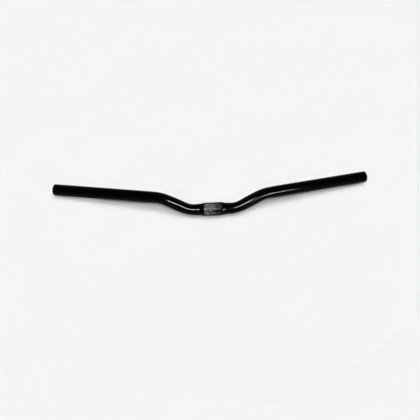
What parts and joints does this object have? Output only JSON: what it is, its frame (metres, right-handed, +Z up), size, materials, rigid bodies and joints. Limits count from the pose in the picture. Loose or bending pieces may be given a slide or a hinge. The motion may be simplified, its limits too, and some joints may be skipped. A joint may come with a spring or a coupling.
{
  "type": "riser handlebar",
  "caption": "One-piece bent tube handlebar with raised, swept-back grips and a bulged, knurled middle that a bicycle stem clamps.",
  "frame": {"origin": "middle of the stem clamp, on its axis", "axes": "+X along the clamp axis; +Y towards the rise, along the surface that the bar lies on; +Z up from that surface, with the front of the bar upwards"},
  "size_m": [0.6236, 0.0795, 0.0382],
  "materials": {
    "black_finish": "gloss"
  },
  "bodies": {
    "root": {"handlebar": "black_finish"}
  },
  "joints": []
}
